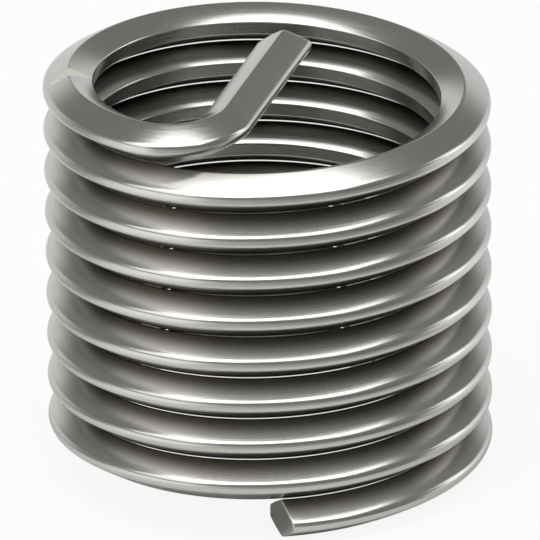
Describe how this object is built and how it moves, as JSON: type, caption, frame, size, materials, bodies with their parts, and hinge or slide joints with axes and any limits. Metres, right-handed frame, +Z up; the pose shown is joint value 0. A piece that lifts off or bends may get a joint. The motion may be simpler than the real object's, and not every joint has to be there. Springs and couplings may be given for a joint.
{
  "type": "helical wire thread insert",
  "caption": "Helical thread insert: one coiled length of diamond-section stainless wire that lines a tapped hole, with a driving tang bent across the bore and a break-off notch beside it.",
  "frame": {"origin": "on the axis of the coil, at the level of the lowest point of the plain end", "axes": "+Z up the axis of the coil from the plain end to the tang; -Y towards the sheared plain end; +X to the right of it"},
  "size_m": [0.01, 0.01, 0.01],
  "materials": {
    "stainless_wire": "bright drawn and rolled wire, polished"
  },
  "bodies": {
    "root": {"insert_wire": "stainless_wire"}
  },
  "joints": []
}
